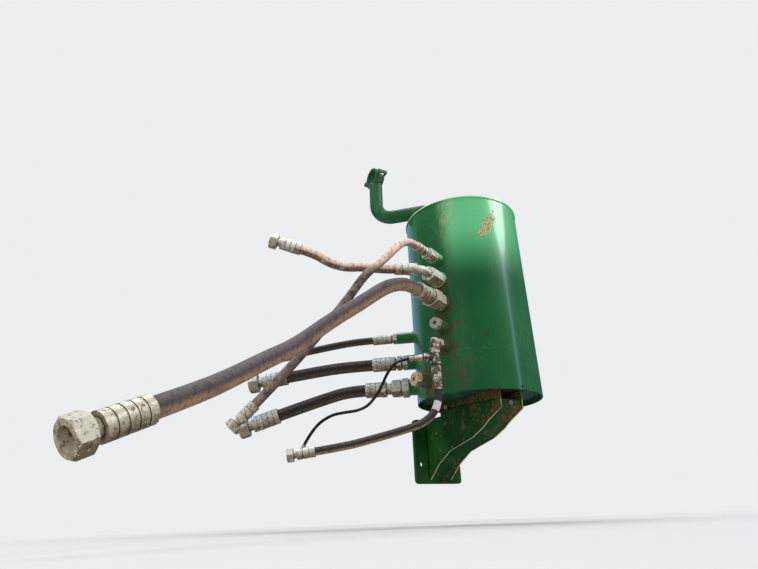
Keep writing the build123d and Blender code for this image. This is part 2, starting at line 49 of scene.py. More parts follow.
# Camera: low, just above the floor, looking up at the tank from its left front
CAMERA_PLACE = (-0.9221, -1.2605, -0.1807)
CAMERA_TURN = 31.0        # degrees clockwise from +Y
CAMERA_PITCH = 23.98
CAMERA_ROLL = -2.19
FOCAL_PIXELS = 525.0
FRAME_PIXELS = 758.0
SENSOR_WIDTH = 36.0       # mm
CLIP_NEAR, CLIP_FAR = 0.02, 60.0


def make_camera():
    turn, pitch, roll = (math.radians(a) for a in (CAMERA_TURN, CAMERA_PITCH, CAMERA_ROLL))
    look = Vector((math.sin(turn) * math.cos(pitch), math.cos(turn) * math.cos(pitch), math.sin(pitch)))
    right = Vector((math.cos(turn), -math.sin(turn), 0.0))
    up = right.cross(look)
    tilted_right = right * math.cos(roll) + up * math.sin(roll)
    tilted_up = up * math.cos(roll) - right * math.sin(roll)
    data = bpy.data.cameras.new("camera")
    data.sensor_width = SENSOR_WIDTH
    data.lens = FOCAL_PIXELS * SENSOR_WIDTH / FRAME_PIXELS
    data.clip_start, data.clip_end = CLIP_NEAR, CLIP_FAR
    camera = bpy.data.objects.new("camera", data)
    bpy.context.scene.collection.objects.link(camera)
    camera.matrix_world = Matrix((tilted_right, tilted_up, -look)).transposed().to_4x4()
    camera.location = CAMERA_PLACE
    bpy.context.scene.camera = camera


# Shader trees


class Nodes:
    """A node tree while it is made. Every input takes a socket or a plain value."""

    def __init__(self, tree):
        self.tree = tree
        tree.nodes.clear()

    def add(self, kind, inputs, **settings):
        node = self.tree.nodes.new(kind)
        for key, value in settings.items():
            setattr(node, key, value)
        for key, value in inputs.items():
            self.feed(node.inputs[key], value)
        return node

    def feed(self, socket, value):
        if isinstance(value, bpy.types.NodeSocket):
            self.tree.links.new(value, socket)
        else:
            socket.default_value = value

    def math(self, operation, *values):
        return self.add("ShaderNodeMath", dict(enumerate(values)), operation=operation).outputs[0]

    def chain(self, operation, first, *others):
        for other in others:
            first = self.math(operation, first, other)
        return first

    def times(self, *shares):
        return self.chain("MULTIPLY", *shares)

    def most(self, *shares):
        return self.chain("MAXIMUM", *shares)

    def plus(self, *values):
        return self.chain("ADD", *values)

    def minus(self, value, other):
        return self.math("SUBTRACT", value, other)

    def ramp(self, value, low, high, floor=0.0, ceiling=1.0):
        """Smooth step of a value between low and high."""
        node = self.add("ShaderNodeMapRange", {
            "Value": value, "From Min": low, "From Max": high, "To Min": floor, "To Max": ceiling},
            interpolation_type="SMOOTHSTEP")
        return node.outputs["Result"]

    def within(self, value, middle, outer, inner):
        """1 where a value lies within inner of the middle, falling to 0 at outer."""
        return self.ramp(self.math("ABSOLUTE", self.minus(value, middle)), outer, inner)


class Finish(Nodes):
    """A material while it is made, with patterns that lie on the piece's own coordinates."""

    def __init__(self, name):
        self.material = bpy.data.materials.new(name)
        self.material.use_nodes = True
        super().__init__(self.material.node_tree)
        self.shader = self.add("ShaderNodeBsdfPrincipled", {})
        self.add("ShaderNodeOutputMaterial", {"Surface": self.shader.outputs["BSDF"]})
        place = self.add("ShaderNodeTexCoord", {})
        self.place, self.normal = place.outputs["Object"], place.outputs["Normal"]

    def noise(self, scale, detail=4.0, stretch=(1, 1, 1), rough=0.55):
        """Fine-grained noise about 0.5, with a scale for each axis."""
        where = self.add("ShaderNodeMapping", {"Vector": self.place, "Scale": stretch})
        made = self.add("ShaderNodeTexNoise", {
            "Vector": where.outputs[0], "Scale": scale, "Detail": detail, "Roughness": rough})
        return made.outputs["Fac"]

    def mix(self, share, first, second):
        node = self.add("ShaderNodeMix", {}, data_type="RGBA")
        self.feed(node.inputs["Factor"], share)
        self.feed(node.inputs[6], first)
        self.feed(node.inputs[7], second)
        return node.outputs[2]

    def over(self, colour, second, share, strength=1.0):
        """A colour with a second one laid over it."""
        if strength < 1.0:
            share = self.times(share, strength)
        return self.mix(share, colour, second)

    def near(self, centre, radius, fade):
        """1 close to a point, falling to 0 over the fade."""
        away = self.add("ShaderNodeVectorMath", {0: self.place, 1: centre}, operation="DISTANCE")
        return self.ramp(away.outputs["Value"], radius + fade, radius)

    def near_line(self, centre, radius, fade):
        """1 close to an upright line through a point."""
        flat = self.add("ShaderNodeVectorMath", {0: self.place, 1: (1, 1, 0)}, operation="MULTIPLY")
        away = self.add("ShaderNodeVectorMath", {
            0: flat.outputs[0], 1: (centre.x, centre.y, 0)}, operation="DISTANCE")
        return self.ramp(away.outputs["Value"], radius + fade, radius)

    def near_any(self, places):
        """1 within any of the places on the tank's wall."""
        return self.most(*(
            self.near(on_wall(turn, height, *out), radius, fade)
            for turn, height, *out, radius, fade in places))

    def axis(self, letter):
        return self.add("ShaderNodeSeparateXYZ", {"Vector": self.place}).outputs[letter]

    def facing(self, letter):
        return self.add("ShaderNodeSeparateXYZ", {"Vector": self.normal}).outputs[letter]

    def corner(self, reach):
        """1 in inside corners, where other faces stand close by."""
        hidden = self.add("ShaderNodeAmbientOcclusion", {"Distance": reach}, samples=8)
        return self.ramp(hidden.outputs["AO"], 0.82, 0.5)

    def bump(self, height, strength, distance):
        node = self.add("ShaderNodeBump", {"Height": height, "Strength": strength, "Distance": distance})
        self.feed(self.shader.inputs["Normal"], node.outputs["Normal"])

    def done(self, inputs):
        """The material, with these inputs of its shader."""
        for name, value in inputs.items():
            self.feed(self.shader.inputs[name], value)
        return self.material


# Colours


def srgb(red, green, blue):
    """A colour written as 0 to 255, as the linear values that the shader takes."""
    return tuple(
        (c / 255 / 12.92) if c / 255 <= 0.04045 else ((c / 255 + 0.055) / 1.055) ** 2.4
        for c in (red, green, blue)
    ) + (1.0,)


GREEN = srgb(34, 112, 56)
GREEN_DEEP = srgb(18, 84, 42)
# painted shade on the arm and inside the skirt
GREEN_SHADE = srgb(8, 56, 28)
GREEN_FADED = srgb(92, 150, 96)
GREEN_RIM = srgb(186, 224, 172)
# painted sunlight on the tank's front
GREEN_SUNLIT = srgb(108, 208, 142)
DUST = srgb(178, 176, 138)
RUST = srgb(212, 188, 142)
RUST_DARK = srgb(150, 118, 76)
STAIN = srgb(96, 52, 40)
GRIME = srgb(80, 58, 30)
# painted highlight on the tops of two bosses
BOSS_HIGHLIGHT = srgb(192, 238, 158)

BRACKET_GREEN = srgb(28, 90, 26)
BRACKET_DEEP = srgb(12, 60, 16)
MUD_PALE = srgb(120, 88, 52)
MUD_DARK = srgb(60, 38, 22)
MUD_SPECK = srgb(128, 106, 62)
# painted shade in inside corners and under the flanges
CORNER_SHADE = srgb(20, 24, 12)
# worn paint and painted highlight on the gussets' cut edges
EDGE_WEAR_AND_GLINT = srgb(168, 172, 122)

UNDER_SHADE_AND_DIRT = srgb(108, 86, 58)
BRANCH_DIRT_AND_SHADE = srgb(62, 42, 34)
BOLT_DIRT = srgb(92, 92, 58)
COOL_STEEL_AND_SHEEN = srgb(168, 180, 190)
LEVEL_STEEL = srgb(136, 146, 134)

RUBBER_TICK = srgb(40, 32, 30)
RUBBER_SHADED = srgb(70, 58, 56)
BAND_WHITE = srgb(214, 210, 208)

# Places on the tank's wall are a turn from +X in degrees, and a height above the skirt's edge
TANK_RADIUS = 0.160
TANK_AXIS = Vector((0.0, -0.210, 0.0))
SKIRT_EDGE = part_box("tank_shell")[0].z
TANK_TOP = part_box("top_head")[1].z
INSIDE_RADIUS = TANK_RADIUS - 0.0028      # just out of the sheet's inner face
PORT_LINE = 204.0
SUCTION_LINE = 140.0
DRAIN_TURN = 180.0
DUST_RUN_TURN = 217.0
# Places between which a look of the paint comes in, first where there is none of it
# where the painted sunlight on the front lies
SUNLIT_LOW = (SKIRT_EDGE + 0.28, SKIRT_EDGE + 0.46)
SUNLIT_TOP = (TANK_TOP + 0.01, TANK_TOP)
SUNLIT_LEFT = (-0.146, -0.118)          # in X
SUNLIT_BACK = (-0.12, -0.24)            # in Y, with a part of it left at the back
DUST_RUN_LOW = (SKIRT_EDGE + 0.36, SKIRT_EDGE + 0.46)
INSIDE_TOP = (SKIRT_EDGE + 0.08, SKIRT_EDGE + 0.07)
ARM_LOW = (TANK_TOP + 0.004, TANK_TOP + 0.012)
RIM_LOW = (TANK_TOP - 0.0045, TANK_TOP - 0.0035)
RIM_TOP = (TANK_TOP + 0.001, TANK_TOP - 0.0002)


def on_wall(turn, height, out=0.0):
    """A point on the tank's wall, or a little way out of it."""
    angle = math.radians(turn)
    reach = TANK_RADIUS + out
    return TANK_AXIS + Vector((math.cos(angle) * reach, math.sin(angle) * reach, SKIRT_EDGE + height))


BRANCH_PLACE = on_wall(PORT_LINE, 0.115, 0.048)     # the fittings that hang under the branch port
LEVEL_SOCKET = on_wall(PORT_LINE, 0.164, 0.046)     # the level plug's blind hole
BLANK_BAND = Vector((-0.2030, -0.2960, 0.0460))     # a bare patch round the return hose

# Marks on the wall. Columns: turn, height, radius, fade
RUST_PLACES = (
    (248.5, 0.412, 0.001, 0.016), (252.0, 0.428, 0.002, 0.019), (256.5, 0.446, 0.003, 0.021),
    (261.0, 0.466, 0.001, 0.019), (258.0, 0.428, 0.000, 0.014), (264.0, 0.486, 0.000, 0.009))
STAIN_PLACES = (
    (216.8, 0.168, 0.003, 0.010), (214.8, 0.110, 0.003, 0.013), (210.5, 0.085, 0.004, 0.012),
    (215.2, 0.046, 0.008, 0.024), (218.5, 0.025, 0.006, 0.020), (243.5, 0.153, 0.001, 0.006),
    (224.0, 0.070, 0.002, 0.012), (236.0, 0.135, 0.001, 0.007), (208.0, 0.060, 0.004, 0.020),
    (222.0, 0.235, 0.001, 0.008))
# Marks round the ports. Columns: turn, height, how far out of the wall, radius, fade
GRIME_PLACES = (
    (DRAIN_TURN, 0.042, 0.006, 0.024, 0.026), (PORT_LINE, 0.115, 0.010, 0.018, 0.018),
    (PORT_LINE, 0.160, 0.014, 0.020, 0.020), (PORT_LINE, 0.222, 0.000, 0.022, 0.016),
    (PORT_LINE, 0.286, 0.000, 0.018, 0.012), (190.0, 0.030, 0.000, 0.010, 0.040))
# Painted highlights on the tops of the two upper bosses, with the same columns
BOSS_HIGHLIGHT_PLACES = ((PORT_LINE, 0.352, 0.016, 0.018, 0.006), (PORT_LINE, 0.294, 0.010, 0.0215, 0.003))


def green_paint(name):
    """Glossy enamel: painted sunlight on the front, painted shade on the arm and in the skirt, painted
    highlights on two bosses, and dust, stains, grime and one patch of rust.
    """
    made = Finish(name)
    height, up = made.axis("Z"), made.facing("Z")
    grain = made.noise(210.0, 5.0)
    colour = made.mix(made.ramp(made.noise(3.0, 2.0), 0.3, 0.75), GREEN_DEEP, GREEN)

    # painted sunlight: lighter on the front from half the height upwards, less at the back and on top
    sunlit = made.times(
        made.ramp(height, *SUNLIT_LOW), made.ramp(height, *SUNLIT_TOP),
        made.ramp(made.axis("X"), *SUNLIT_LEFT), made.ramp(made.axis("Y"), *SUNLIT_BACK, floor=0.4),
        made.ramp(up, 0.7, 0.95, 1.0, 0.35))
    colour = made.over(colour, GREEN_SUNLIT, sunlit, 0.84)

    # the arm and the inside of the skirt are dull, and darkened with painted shade
    arm = made.ramp(height, *ARM_LOW)
    inside = made.times(made.near_line(TANK_AXIS, INSIDE_RADIUS, 0.001), made.ramp(height, *INSIDE_TOP))
    flat = made.most(made.times(arm, 0.75), inside)
    colour = made.over(colour, GREEN_SHADE, flat, 0.7)
    streak = made.ramp(made.noise(34.0, 3.0, stretch=(1, 1, 0.05)), 0.48, 0.78, ceiling=0.3)
    colour = made.over(colour, GREEN_FADED, streak)

    # dust thrown all over, run down from the rim, and settled on what lies level
    thrown = made.times(made.ramp(made.noise(7.0, 4.0), 0.4, 0.8, ceiling=0.4), made.ramp(grain, 0.5, 0.66))
    run = made.times(
        made.near_line(on_wall(DUST_RUN_TURN, 0.0), 0.008, 0.030),
        made.ramp(made.noise(110.0, 6.0, stretch=(1, 1, 0.5), rough=0.75), 0.4, 0.62),
        made.ramp(height, *DUST_RUN_LOW))
    settled = made.times(
        made.ramp(up, 0.7, 0.95), made.ramp(made.noise(16.0, 6.0, rough=0.7), 0.36, 0.62, 0.3, 0.95))
    dust = made.most(thrown, made.times(run, 0.75), settled)
    colour = made.over(colour, DUST, dust, 0.6)

    blots = made.ramp(made.noise(120.0, 5.0, stretch=(1, 1, 0.6)), 0.42, 0.62)
    stain = made.times(made.near_any(STAIN_PLACES), blots)
    colour = made.over(colour, STAIN, stain, 0.65)
    grime = made.times(made.near_any(GRIME_PLACES), made.ramp(made.noise(80.0, 4.0), 0.34, 0.62, 0.3))
    colour = made.over(colour, GRIME, grime, 0.8)
    # painted highlight on the tops of the two upper bosses
    boss_highlight = made.times(made.near_any(BOSS_HIGHLIGHT_PLACES), made.ramp(up, -0.6, 0.3))
    colour = made.over(colour, BOSS_HIGHLIGHT, boss_highlight, 0.9)

    # rust stands where the flakes of paint are gone
    flakes = made.ramp(made.noise(230.0, 6.0, rough=0.7), 0.36, 0.64)
    rust = made.ramp(made.minus(made.near_any(RUST_PLACES), flakes), -0.02, 0.1)
    colour = made.over(colour, made.mix(made.ramp(grain, 0.42, 0.6), RUST_DARK, RUST), rust)

    # the head's edge is worn to a thin pale rim
    rim = made.times(
        made.ramp(height, *RIM_LOW), made.ramp(height, *RIM_TOP), made.ramp(up, 0.75, 0.98, 1.0, 0.0))
    colour = made.over(colour, GREEN_RIM, rim, 0.9)

    worn = made.most(rust, stain)
    dull = made.most(worn, grime, dust, flat)
    made.bump(made.plus(made.times(grain, 0.08), worn), 0.25, 0.0008)
    return made.done({
        "Base Color": colour, "Roughness": made.ramp(dull, 0.0, 1.0, 0.28, 0.8),
        "Coat Weight": made.minus(0.6, made.times(dull, 0.6)), "Coat Roughness": 0.1})


# The middle of each gusset's cut edge, and the front of the back plate
LEFT_GUSSET = -0.03085
RIGHT_GUSSET = 0.03815
BACK_PLATE_FRONT = -0.0122
# The lower edge of the foot's flanges: its height at the mounting face, and its slope towards +Y
FLANGE_EDGE = 0.0885
FLANGE_SLOPE = 0.05
# The share of the bracket that mud leaves bare: by height, to which a step forwards adds a part of its
# length, and how much less of it is bare on the flanges and on the right of the web
MUD_FORWARD = 0.6
MUD_HEIGHTS = (0.08, 0.24)
BARE_SHARES = (0.62, 0.505)
FLANGE_MUD, WEB_MUD = 0.075, 0.078
WEB_RIGHT = (-0.01, 0.03)         # in X


def bracket_paint(name):
    """Dark enamel under dried mud: thick on the foot's flanges, patchy lower down, and worn off the
    gussets' edges, which also carry a painted highlight; painted shade in inside corners and under the flanges."""
    made = Finish(name)
    across, depth, height = (made.axis(letter) for letter in "XYZ")
    patch = made.noise(48.0, 6.0, rough=0.72)
    grain = made.noise(190.0, 5.0, rough=0.7)
    colour = made.mix(made.ramp(made.noise(9.0), 0.35, 0.7), BRACKET_DEEP, BRACKET_GREEN)

    turned = made.math("ABSOLUTE", made.facing("X"))
    sideways = made.ramp(turned, 0.4, 0.7)
    past_edge = made.minus(height, made.plus(made.times(depth, FLANGE_SLOPE), FLANGE_EDGE))
    on_web = made.times(made.minus(1.0, sideways), made.ramp(across, *WEB_RIGHT))
    bare = made.ramp(made.minus(height, made.times(depth, MUD_FORWARD)), *MUD_HEIGHTS, *BARE_SHARES)
    bare = made.minus(bare, made.times(made.ramp(past_edge, -0.001, 0.001), FLANGE_MUD))
    bare = made.minus(bare, made.times(on_web, WEB_MUD))
    crust = made.ramp(made.minus(patch, bare), -0.03, 0.05)
    mud = made.mix(made.ramp(grain, 0.4, 0.62), MUD_DARK, MUD_PALE)
    colour = made.over(colour, mud, crust, 0.82)
    colour = made.over(colour, MUD_SPECK, made.ramp(made.noise(95.0, 3.0), 0.67, 0.72), 0.8)

    # painted shadow in a thin line under the foot's flanges, and painted shade in inside corners
    seam = made.times(sideways, made.within(past_edge, 0.0, 0.0018, 0.0008))
    colour = made.over(colour, CORNER_SHADE, made.most(made.corner(0.007), seam), 0.8)

    # the gussets' cut edges face forwards or down; their pale line is worn paint and a painted highlight where
    # they catch the light
    cut = made.most(
        made.within(across, LEFT_GUSSET, 0.0022, 0.0018), made.within(across, RIGHT_GUSSET, 0.0026, 0.0021))
    edge = made.times(
        cut, made.ramp(turned, 0.6, 0.3), made.ramp(made.noise(50.0, 4.0), 0.3, 0.5, 0.35),
        made.ramp(depth, BACK_PLATE_FRONT, BACK_PLATE_FRONT - 0.0013))
    colour = made.over(colour, EDGE_WEAR_AND_GLINT, edge)

    made.bump(made.plus(crust, made.times(grain, 0.6)), 0.4, 0.0014)
    return made.done({
        "Base Color": colour, "Roughness": made.ramp(crust, 0.0, 1.0, 0.62, 0.95), "Specular IOR Level": 0.25})


# Places between which a look of the fittings comes in, first where there is none of it
FAR_FROM_TANK = (-0.45, -0.75)                             # in X
BELOW_UPPER_PORTS = (0.365, 0.335)
SUCTION_SIDE = (-0.16, -0.12)                              # in Y
BRACKET_BOLTS = ((-0.10, -0.08), (0.12, 0.11))             # in X, and in height
BRANCH_TOP = (0.226, 0.220)
# Radius and fade round the branch port's fittings, the level plug and its blind hole
BRANCH_REACH, LEVEL_REACH, SOCKET_REACH = (0.030, 0.006), (0.018, 0.002), (0.0042, 0.0012)


def plated(name, pale, mid, dark):
    """Plated steel: dull metal, pale on top as painted light, with painted shade and oily dirt underneath,
    painted shade in its corners, and dirt in small flecks.
    """
    made = Finish(name)
    across, depth, height, up = made.axis("X"), made.axis("Y"), made.axis("Z"), made.facing("Z")
    patch = made.noise(34.0, 3.0)
    fine = made.noise(170.0, 4.0, rough=0.7)

    # painted light: palest where it faces up and on the upper ports, with painted shade below them; duller away
    # from the tank
    far = made.ramp(across, *FAR_FROM_TANK, ceiling=0.5)
    low = made.ramp(height, *BELOW_UPPER_PORTS, -0.5, 0.3)
    colour = made.mix(made.plus(low, made.most(far, made.ramp(up, 0.5, -0.4))), pale, mid)
    colour = made.over(colour, mid, made.ramp(patch, 0.45, 0.65), 0.45)

    # the suction side is cleaner, with a cool painted reflection that is strongest on top
    cool = made.times(made.ramp(depth, *SUCTION_SIDE), made.ramp(up, -0.4, 0.4, 0.3, 0.65))
    colour = made.over(colour, COOL_STEEL_AND_SHEEN, cool)

    # painted shade and oily dirt on faces that look down
    under = made.times(made.ramp(up, 0.0, -0.75), made.ramp(patch, 0.25, 0.6, 0.5))
    colour = made.over(colour, UNDER_SHADE_AND_DIRT, under)
    blotch = made.ramp(made.noise(115.0, 4.0, rough=0.6), 0.55, 0.62)
    colour = made.over(colour, dark, made.times(blotch, made.ramp(up, 0.8, -0.2, 0.1, 0.5)))
    flecks = made.ramp(fine, 0.56, 0.63)
    colour = made.over(colour, dark, flecks, 0.65)

    # the bracket's bolts are caked like the bracket
    bolts_across, bolts_up = BRACKET_BOLTS
    bolts = made.times(
        made.ramp(across, *bolts_across), made.ramp(height, *bolts_up), made.ramp(fine, 0.35, 0.6, 0.5, 0.8))
    colour = made.over(colour, BOLT_DIRT, bolts)
    colour = made.over(colour, pale, made.ramp(fine, 0.4, 0.34), 0.6)

    # the branch port's fittings are the dirtiest, with painted shade making them darkest where they face -X
    branch = made.times(made.near_line(BRANCH_PLACE, *BRANCH_REACH), made.ramp(height, *BRANCH_TOP))
    away = made.ramp(made.facing("X"), 0.5, -0.9, 0.0, 0.09)
    dirt_and_shade = made.times(branch, made.ramp(made.plus(made.noise(85.0, 5.0, rough=0.7), away), 0.50, 0.57))
    colour = made.over(colour, BRANCH_DIRT_AND_SHADE, dirt_and_shade, 0.88)

    colour = made.over(colour, LEVEL_STEEL, made.near(LEVEL_SOCKET, *LEVEL_REACH), 0.6)
    # painted shade in the level plug's blind hole and in inside corners
    hole = made.near(LEVEL_SOCKET, *SOCKET_REACH)
    corner = made.most(made.times(made.corner(0.005), made.ramp(patch, 0.2, 0.5, 0.75)), hole)
    colour = made.over(colour, dark, corner)

    dirt = made.most(under, flecks, corner, dirt_and_shade)
    made.bump(made.plus(made.times(made.noise(320.0), 0.5), flecks), 0.15, 0.0004)
    return made.done({
        "Base Color": colour, "Roughness": made.ramp(dirt, 0.0, 1.0, 0.34, 0.75),
        "Metallic": made.ramp(dirt, 0.0, 1.0, 0.15, 0.0)})


SHADED_FADE = 0.035
BAND_REACH = (0.0135, 0.0006)     # radius and fade


def rubber(name, side, top_light_and_dust, under_shade_and_dirt, top=(-0.1, 0.6), under=(-0.25, -0.8),
           dark_below=None, band=None):
    """Hose rubber: a top colour on upward faces and an under colour below (dust and dirt on the brown and dark
    hoses, painted light and painted shade on the light ones), small ticks left by the cure cloth. It can have
    painted shade below a height, and have a pale band round a point."""
    made = Finish(name)
    up = made.facing("Z")
    patch = made.noise(48.0, 5.0, rough=0.65)
    fine = made.noise(240.0, 4.0, rough=0.65)
    ticks = made.ramp(made.noise(150.0, 3.0, stretch=(1, 1, 0.35), rough=0.6), 0.5, 0.6)
    # top and under colours: dust and dirt, and on the light hoses painted light on top and painted shade below
    colour = made.over(side, top_light_and_dust, made.times(made.ramp(up, *top), made.ramp(patch, 0.3, 0.5, 0.5)))
    colour = made.over(colour, under_shade_and_dirt, made.times(made.ramp(up, *under), made.ramp(patch, 0.3, 0.5, 0.4)))
    colour = made.over(colour, side, made.ramp(fine, 0.48, 0.68, ceiling=0.6))
    colour = made.over(colour, RUBBER_TICK, ticks, 0.35)
    if dark_below:
        shaded = made.times(
            made.ramp(made.axis("Z"), dark_below, dark_below - SHADED_FADE),
            made.ramp(patch, 0.3, 0.6, 1.0, 0.75))
        colour = made.over(colour, RUBBER_SHADED, shaded)
    if band:
        worn_band = made.times(made.near(band, *BAND_REACH), made.ramp(fine, 0.6, 0.4, 0.75))
        colour = made.over(colour, BAND_WHITE, worn_band)
    made.bump(made.plus(made.noise(420.0, 3.0), ticks), 0.3, 0.0006)
    return made.done({"Base Color": colour, "Roughness": 0.8})


def plastic(name, colour, worn):
    """Moulded plastic, scuffed to a paler colour."""
    made = Finish(name)
    scuff = made.ramp(made.noise(70.0, 5.0), 0.5, 0.75, ceiling=0.6)
    made.bump(made.noise(500.0), 0.15, 0.0003)
    return made.done({
        "Base Color": made.mix(scuff, colour, worn), "Roughness": made.ramp(scuff, 0.0, 1.0, 0.38, 0.7)})


# Finishes: first those of the record's slots, then the hoses'. Columns: name, its function, what it takes
FINISHES = (
    ("green_paint", green_paint, {}),
    ("bracket_paint", bracket_paint, {}),
    ("zinc", plated, dict(pale=srgb(252, 250, 238), mid=srgb(196, 184, 158), dark=srgb(50, 42, 28))),
    ("yellow_zinc", plated, dict(pale=srgb(240, 236, 216), mid=srgb(200, 180, 134), dark=srgb(60, 46, 28))),
    ("cap_plastic", plastic, dict(colour=srgb(24, 25, 25), worn=srgb(70, 66, 60))),
    ("line_plastic", plastic, dict(colour=srgb(28, 26, 25), worn=srgb(92, 78, 62))),
    # hose_light and hose_upper: the top colour is painted light and the under colour painted shade
    ("hose_light", rubber, dict(
        side=srgb(176, 142, 118), top_light_and_dust=srgb(240, 212, 192), under_shade_and_dirt=srgb(84, 64, 52),
        top=(-0.6, 0.2), under=(-0.2, -0.65))),
    ("hose_upper", rubber, dict(
        side=srgb(196, 162, 138), top_light_and_dust=srgb(246, 220, 200), under_shade_and_dirt=srgb(132, 104, 86),
        top=(-0.6, 0.2), under=(-0.3, -0.8), dark_below=0.352)),
    ("hose_brown", rubber, dict(
        side=srgb(80, 70, 68), top_light_and_dust=srgb(108, 100, 101), under_shade_and_dirt=srgb(158, 126, 95),
        top=(0.0, 0.7), under=(0.15, -0.45))),
    ("hose_return", rubber, dict(
        side=srgb(54, 46, 44), top_light_and_dust=srgb(86, 78, 75), under_shade_and_dirt=srgb(150, 126, 92), band=BLANK_BAND)),
    ("hose_dark", rubber, dict(
        side=srgb(40, 35, 35), top_light_and_dust=srgb(92, 83, 82), under_shade_and_dirt=srgb(82, 68, 52))),
)


def make_finishes():
    return {name: make(name, **looks) for name, make, looks in FINISHES}


def dress_nodes(finishes):
    """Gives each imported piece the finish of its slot."""
    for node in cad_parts.values():
        for slot in node.material_slots:
            if slot.material and slot.material.name in finishes:
                slot.material = finishes[slot.material.name]


# Welds, as rows of small beads along curves. Boss columns: turn, height, radius
BOSS_WELDS = (
    (PORT_LINE, 0.350, 0.0172), (PORT_LINE, 0.292, 0.0212), (PORT_LINE, 0.228, 0.0242),
    (PORT_LINE, 0.164, 0.0162), (PORT_LINE, 0.115, 0.0142), (DRAIN_TURN, 0.0425, 0.0172),
    (SUCTION_LINE, 0.192, 0.0157), (SUCTION_LINE, 0.121, 0.0202), (SUCTION_LINE, 0.052, 0.0212))
BOSS_BEAD_STEP = 0.0022
HEAD_BEAD_STEP = 0.004
BEAD_SIZE = (0.0021, 0.0021, 0.0013)
BEAD_SPREAD = (0.75, 1.15)        # smallest and largest bead, as shares of the size
BOSS_RING_POINTS = 48
HEAD_RING_POINTS = 144
HEAD_SEAM_BELOW_TOP = 0.0048
HEAD_SEAM_OUT = 0.0004


def boss_ring(turn, height, radius):
    """The line where a boss meets the round wall."""
    angle = math.radians(turn)
    out = Vector((math.cos(angle), math.sin(angle), 0.0))
    side = Vector((-math.sin(angle), math.cos(angle), 0.0))
    ring = []
    for step in range(BOSS_RING_POINTS):
        around = 2 * math.pi * step / BOSS_RING_POINTS
        across = radius * math.cos(around)
        rise = Vector((0.0, 0.0, SKIRT_EDGE + height + radius * math.sin(around)))
        ring.append(TANK_AXIS + out * math.sqrt(TANK_RADIUS ** 2 - across ** 2) + side * across + rise)
    return ring


def head_ring():
    """The seam round the tank, just under its top."""
    centre = TANK_AXIS + Vector((0.0, 0.0, TANK_TOP - HEAD_SEAM_BELOW_TOP))
    turns = (2 * math.pi * step / HEAD_RING_POINTS for step in range(HEAD_RING_POINTS))
    return [centre + Vector((math.cos(a), math.sin(a), 0.0)) * (TANK_RADIUS + HEAD_SEAM_OUT) for a in turns]


def make_weld_nodes(material):
    """Node group: beads set along a curve, each turned with it, as real geometry."""
    group = bpy.data.node_groups.new("weld_beads", "GeometryNodeTree")
    group.interface.new_socket("Geometry", in_out="INPUT", socket_type="NodeSocketGeometry")
    step = group.interface.new_socket("Step", in_out="INPUT", socket_type="NodeSocketFloat")
    step.default_value = BOSS_BEAD_STEP
    group.interface.new_socket("Geometry", in_out="OUTPUT", socket_type="NodeSocketGeometry")
    add = group.nodes.new
    start, end = add("NodeGroupInput"), add("NodeGroupOutput")
    spread = add("GeometryNodeCurveToPoints")
    spread.mode = "LENGTH"
    bead = add("GeometryNodeMeshIcoSphere")
    bead.inputs["Radius"].default_value = 1.0
    bead.inputs["Subdivisions"].default_value = 2
    shrink = add("GeometryNodeTransform")
    shrink.inputs["Scale"].default_value = BEAD_SIZE
    put = add("GeometryNodeInstanceOnPoints")
    vary = add("FunctionNodeRandomValue")
    vary.data_type = "FLOAT"
    for name, value in zip(("Min", "Max"), BEAD_SPREAD):
        next(s for s in vary.inputs if s.name == name and s.type == "VALUE").default_value = value
    real = add("GeometryNodeRealizeInstances")
    smooth = add("GeometryNodeSetShadeSmooth")
    paint = add("GeometryNodeSetMaterial")
    paint.inputs["Material"].default_value = material
    link = group.links.new
    link(start.outputs["Geometry"], spread.inputs["Curve"])
    link(start.outputs["Step"], spread.inputs["Length"])
    link(bead.outputs["Mesh"], shrink.inputs["Geometry"])
    link(spread.outputs["Points"], put.inputs["Points"])
    link(shrink.outputs["Geometry"], put.inputs["Instance"])
    link(spread.outputs["Rotation"], put.inputs["Rotation"])
    link(next(s for s in vary.outputs if s.type == "VALUE"), put.inputs["Scale"])
    link(put.outputs["Instances"], real.inputs["Geometry"])
    link(real.outputs["Geometry"], smooth.inputs["Geometry"])
    link(smooth.outputs["Geometry"], paint.inputs["Geometry"])
    link(paint.outputs["Geometry"], end.inputs["Geometry"])
    return group, step.identifier


def make_welds(name, rings, step, material):
    """Beads along closed rings, as one plain mesh that rides on the tank."""
    data = bpy.data.curves.new(f"{name}_lines", "CURVE")
    data.dimensions = "3D"
    for ring in rings:
        spline = data.splines.new("POLY")
        spline.points.add(len(ring) - 1)
        for point, place in zip(spline.points, ring):
            point.co = (*place, 1.0)
        spline.use_cyclic_u = True
    lines = bpy.data.objects.new(f"{name}_lines", data)
    bpy.context.scene.collection.objects.link(lines)
    group, step_socket = make_weld_nodes(material)
    modifier = lines.modifiers.new("beads", "NODES")
    modifier.node_group = group
    modifier[step_socket] = step
    shaped = lines.evaluated_get(bpy.context.evaluated_depsgraph_get())
    mesh = bpy.data.meshes.new_from_object(shaped)
    bpy.data.objects.remove(lines)
    welds = bpy.data.objects.new(name, mesh)
    bpy.context.scene.collection.objects.link(welds)
    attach(welds, TANK)


def make_all_welds(finishes):
    paint = finishes["green_paint"]
    make_welds("boss_welds", [boss_ring(*row) for row in BOSS_WELDS], BOSS_BEAD_STEP, paint)
    make_welds("head_weld", [head_ring()], HEAD_BEAD_STEP, paint)


